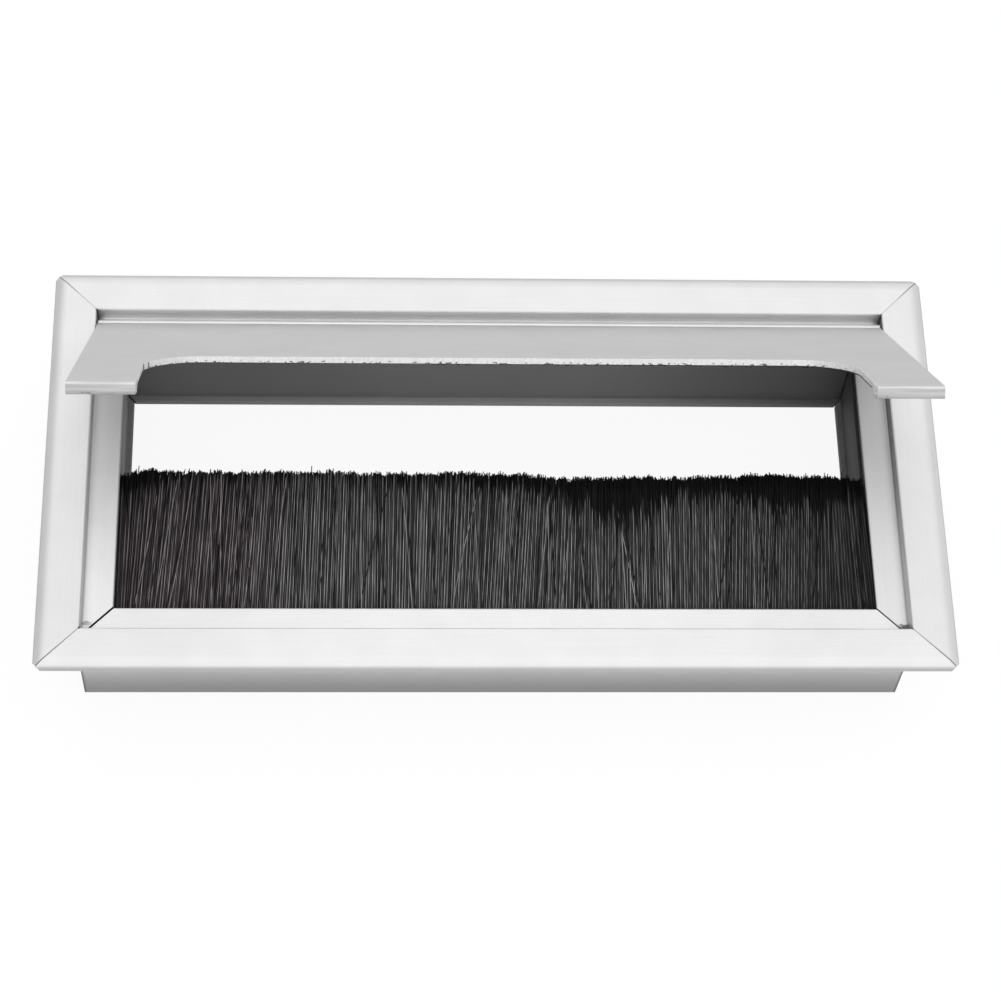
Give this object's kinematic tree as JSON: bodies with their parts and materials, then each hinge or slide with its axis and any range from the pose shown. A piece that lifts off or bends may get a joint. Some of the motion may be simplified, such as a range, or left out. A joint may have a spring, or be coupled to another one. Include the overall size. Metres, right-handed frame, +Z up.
{
  "type": "desk cable grommet",
  "caption": "Rectangular aluminium desk cable grommet: mitred flanged frame with a skirt, a hinged lid with a wide cable notch, and a black brush strip across the opening.",
  "frame": {"origin": "middle of the desk cut-out, on the desk top that the flange's underside lies on", "axes": "+X to the right along the long side, +Y from the brush side to the hinge side, +Z up out of the desk"},
  "size_m": [0.16, 0.08, 0.0701],
  "materials": {
    "frame_aluminium": "fine satin anodised, drawn along the rail",
    "lid_aluminium": "fine satin anodised, sawn bright at the notch",
    "key_aluminium": "mill finish",
    "steel": "bright zinc",
    "bristle": "black nylon bristles"
  },
  "bodies": {
    "frame": {"front_rail": "frame_aluminium", "rear_rail": "frame_aluminium", "left_rail": "frame_aluminium", "right_rail": "frame_aluminium", "corner_key_front_left": "key_aluminium", "corner_key_front_right": "key_aluminium", "corner_key_rear_left": "key_aluminium", "corner_key_rear_right": "key_aluminium", "hinge_pin_left": "steel", "hinge_pin_right": "steel", "brush_holder": "steel", "brush_wire": "steel", "bristles": "bristle"},
    "lid": {"lid": "lid_aluminium"}
  },
  "joints": [
    {"name": "lid_hinge", "type": "hinge", "parent": "frame", "child": "lid", "pos_m": [0, 0.02965, -0.0006], "axis": [-1, 0, 0], "range_deg": [-49.1, 80]}
  ]
}
